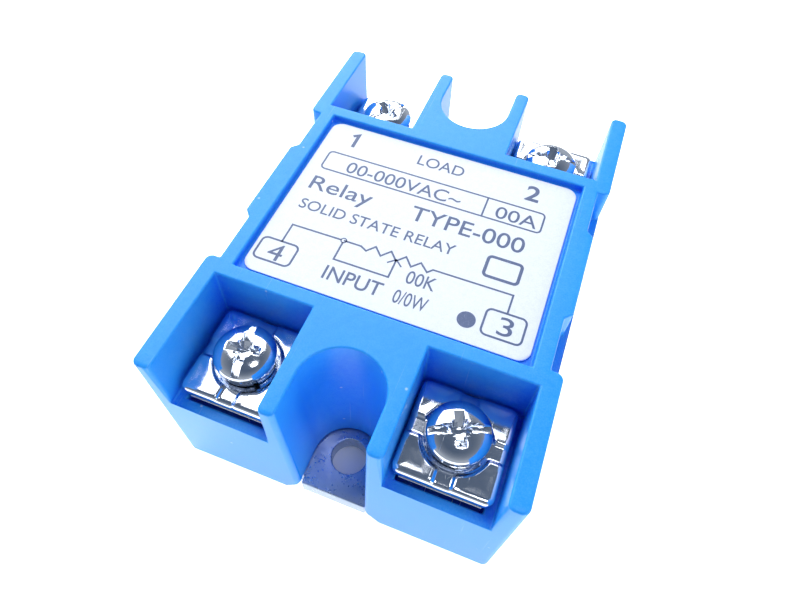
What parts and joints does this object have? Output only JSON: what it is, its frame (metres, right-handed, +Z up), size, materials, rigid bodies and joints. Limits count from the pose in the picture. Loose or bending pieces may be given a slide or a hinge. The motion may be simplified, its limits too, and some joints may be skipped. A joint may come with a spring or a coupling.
{
  "type": "solid state relay",
  "caption": "Panel-mount solid state relay for phase control: blue moulded housing on an aluminium base plate, with screw terminals under square clamp plates.",
  "frame": {"origin": "centre of the footprint, on the underside of the base plate that meets the heat sink", "axes": "+Z up from the base plate; +Y along the length towards the load terminals 1 and 2, -Y towards the input terminals 4 and 3; +X towards terminals 2 and 3"},
  "size_m": [0.045, 0.0622, 0.0265],
  "materials": {
    "blue_plastic": "moulded thermoplastic, satin, slightly translucent at thin edges",
    "aluminium": "milled and lightly brushed",
    "label_paper": "printed self-adhesive film, matt",
    "nickel_plate": "nickel-plated brass, bright",
    "zinc_plate": "bright zinc-plated steel",
    "spring_steel": "plated spring steel",
    "ceramic": "alumina, matt",
    "copper": "bare copper",
    "silicon": "passivated silicon with solderable metal faces",
    "silicone_gel": "soft clear potting gel",
    "board_green": "glass-epoxy board with green solder mask",
    "capacitor_film": "moulded box",
    "varistor_blue": "epoxy coating",
    "resistor_body": "lacquered",
    "diac_glass": "glass body"
  },
  "bodies": {
    "case": {"housing": "blue_plastic", "label": "label_paper", "base_plate": "aluminium", "ceramic_substrate": "ceramic", "silicone_gel": "silicone_gel", "circuit_board": "board_green", "snubber_capacitor": "capacitor_film", "timing_capacitor": "capacitor_film", "varistor": "varistor_blue", "snubber_resistor": "resistor_body", "series_resistor": "resistor_body", "trigger_diac": "diac_glass", "load_terminal_1": "nickel_plate", "load_terminal_2": "nickel_plate", "input_terminal_3": "nickel_plate", "input_terminal_4": "nickel_plate", "copper_foil_1": "copper", "thyristor_chip_1": "silicon", "cross_clip_1": "copper", "gate_lead_1": "nickel_plate", "copper_foil_2": "copper", "thyristor_chip_2": "silicon", "cross_clip_2": "copper", "gate_lead_2": "nickel_plate"},
    "clamp_1": {"clamp_plate_1": "zinc_plate"},
    "screw_1": {"terminal_screw_1": "zinc_plate", "spring_washer_1": "spring_steel"},
    "clamp_2": {"clamp_plate_2": "zinc_plate"},
    "screw_2": {"terminal_screw_2": "zinc_plate", "spring_washer_2": "spring_steel"},
    "clamp_3": {"clamp_plate_3": "zinc_plate"},
    "screw_3": {"terminal_screw_3": "zinc_plate", "spring_washer_3": "spring_steel"},
    "clamp_4": {"clamp_plate_4": "zinc_plate"},
    "screw_4": {"terminal_screw_4": "zinc_plate", "spring_washer_4": "spring_steel"}
  },
  "joints": [
    {"name": "clamp_lift_1", "type": "slide", "parent": "case", "child": "clamp_1", "axis": [0, 0, 1], "range_m": [0, 0.0035]},
    {"name": "screw_turn_1", "type": "hinge", "parent": "clamp_1", "child": "screw_1", "pos_m": [-0.0135, 0.0234, 0.0207], "axis": [0, 0, 1], "range_deg": [0, 1800]},
    {"name": "clamp_lift_2", "type": "slide", "parent": "case", "child": "clamp_2", "axis": [0, 0, 1], "range_m": [0, 0.0035]},
    {"name": "screw_turn_2", "type": "hinge", "parent": "clamp_2", "child": "screw_2", "pos_m": [0.0135, 0.0234, 0.0207], "axis": [0, 0, 1], "range_deg": [0, 1800]},
    {"name": "clamp_lift_3", "type": "slide", "parent": "case", "child": "clamp_3", "axis": [0, 0, 1], "range_m": [0, 0.0035]},
    {"name": "screw_turn_3", "type": "hinge", "parent": "clamp_3", "child": "screw_3", "pos_m": [0.0135, -0.0234, 0.0207], "axis": [0, 0, 1], "range_deg": [0, 1800]},
    {"name": "clamp_lift_4", "type": "slide", "parent": "case", "child": "clamp_4", "axis": [0, 0, 1], "range_m": [0, 0.0035]},
    {"name": "screw_turn_4", "type": "hinge", "parent": "clamp_4", "child": "screw_4", "pos_m": [-0.0135, -0.0234, 0.0207], "axis": [0, 0, 1], "range_deg": [0, 1800]}
  ],
  "couplings": [
    {"joint": "screw_turn_1", "follows": "clamp_lift_1", "rad_per_m": 8975.9},
    {"joint": "screw_turn_2", "follows": "clamp_lift_2", "rad_per_m": 8975.9},
    {"joint": "screw_turn_3", "follows": "clamp_lift_3", "rad_per_m": 8975.9},
    {"joint": "screw_turn_4", "follows": "clamp_lift_4", "rad_per_m": 8975.9}
  ]
}
